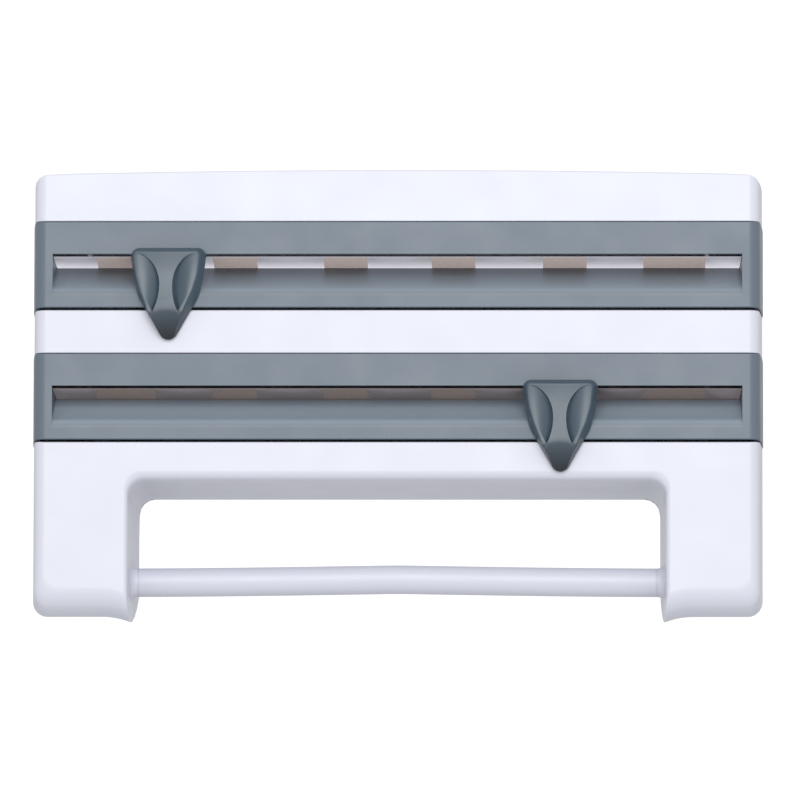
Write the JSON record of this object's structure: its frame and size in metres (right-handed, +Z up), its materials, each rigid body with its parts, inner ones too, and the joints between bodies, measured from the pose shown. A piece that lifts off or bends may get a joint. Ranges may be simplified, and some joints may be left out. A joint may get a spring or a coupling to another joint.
{
  "type": "cling film dispenser",
  "caption": "Wall-mounted kitchen roll dispenser with pull-out film drawers, sliding cutters, a shelf and a sprung towel rod.",
  "frame": {"origin": "point on the flat back face midway between the two keyhole hangers, where the back meets the wall", "axes": "+X to the right across the width, +Y back into the wall, +Z up; the front faces -Y"},
  "size_m": [0.3876, 0.1049, 0.2385],
  "materials": {
    "white_housing": "satin white moulded ABS",
    "inner_white": "matte white moulded plastic",
    "drawer_grey": "fine satin grey moulded ABS",
    "cutter_grey": "satin dark grey moulded plastic",
    "guide_light": "pale satin plastic strip",
    "guide_dark": "dark satin plastic strip",
    "pad_light": "taupe rubber",
    "pad_dark": "dark taupe rubber",
    "steel": "plain steel"
  },
  "bodies": {
    "housing": {"back_panel": "inner_white", "back_panel_screw_1": "steel", "back_panel_screw_2": "steel", "back_panel_screw_3": "steel", "back_panel_screw_4": "steel", "left_rod_socket": "white_housing", "lower_left_runner": "inner_white", "lower_right_runner": "inner_white", "main_housing": "white_housing", "middle_deck": "white_housing", "right_rod_socket": "white_housing", "top_shelf": "white_housing", "upper_left_runner": "inner_white", "upper_right_runner": "inner_white"},
    "upper_drawer": {"upper_drawer_front": "drawer_grey", "upper_drawer_tray": "inner_white", "upper_film_guide": "guide_light", "upper_grip_pad_1": "pad_light", "upper_grip_pad_2": "pad_light", "upper_grip_pad_3": "pad_light", "upper_grip_pad_4": "pad_light", "upper_grip_pad_5": "pad_light", "upper_grip_pad_6": "pad_light", "upper_tray_screw_1": "steel", "upper_tray_screw_2": "steel", "upper_tray_screw_3": "steel", "upper_tray_screw_4": "steel"},
    "lower_drawer": {"lower_drawer_front": "drawer_grey", "lower_drawer_tray": "inner_white", "lower_film_guide": "guide_dark", "lower_grip_pad_1": "pad_dark", "lower_grip_pad_2": "pad_dark", "lower_grip_pad_3": "pad_dark", "lower_grip_pad_4": "pad_dark", "lower_grip_pad_5": "pad_dark", "lower_grip_pad_6": "pad_dark", "lower_tray_screw_1": "steel", "lower_tray_screw_2": "steel", "lower_tray_screw_3": "steel", "lower_tray_screw_4": "steel"},
    "upper_cutter": {"upper_cutter_blade": "steel", "upper_cutter_carriage": "cutter_grey", "upper_cutter_grip": "cutter_grey", "upper_cutter_screw": "steel"},
    "lower_cutter": {"lower_cutter_blade": "steel", "lower_cutter_carriage": "cutter_grey", "lower_cutter_grip": "cutter_grey", "lower_cutter_screw": "steel"},
    "towel_rod": {"rod_end_cap": "white_housing", "rod_spring": "steel", "rod_tube": "white_housing"},
    "rod_plunger_body": {"rod_plunger": "inner_white"}
  },
  "joints": [
    {"name": "upper_drawer_slide", "type": "slide", "parent": "housing", "child": "upper_drawer", "axis": [0, -1, 0], "range_m": [0, 0.075]},
    {"name": "lower_drawer_slide", "type": "slide", "parent": "housing", "child": "lower_drawer", "axis": [0, -1, 0], "range_m": [0, 0.075]},
    {"name": "upper_cutter_slide", "type": "slide", "parent": "upper_drawer", "child": "upper_cutter", "axis": [1, 0, 0], "range_m": [-0.0484, 0.2896]},
    {"name": "lower_cutter_slide", "type": "slide", "parent": "lower_drawer", "child": "lower_cutter", "axis": [1, 0, 0], "range_m": [-0.2553, 0.0827]},
    {"name": "towel_rod_spin", "type": "hinge", "parent": "housing", "child": "towel_rod", "pos_m": [0, -0.061, -0.1297], "axis": [1, 0, 0], "continuous": true},
    {"name": "rod_plunger_press", "type": "slide", "parent": "towel_rod", "child": "rod_plunger_body", "axis": [1, 0, 0], "range_m": [0, 0.004], "stiffness_N_per_m": 400, "springref_m": -0.004, "deforming": ["rod_spring"]}
  ]
}
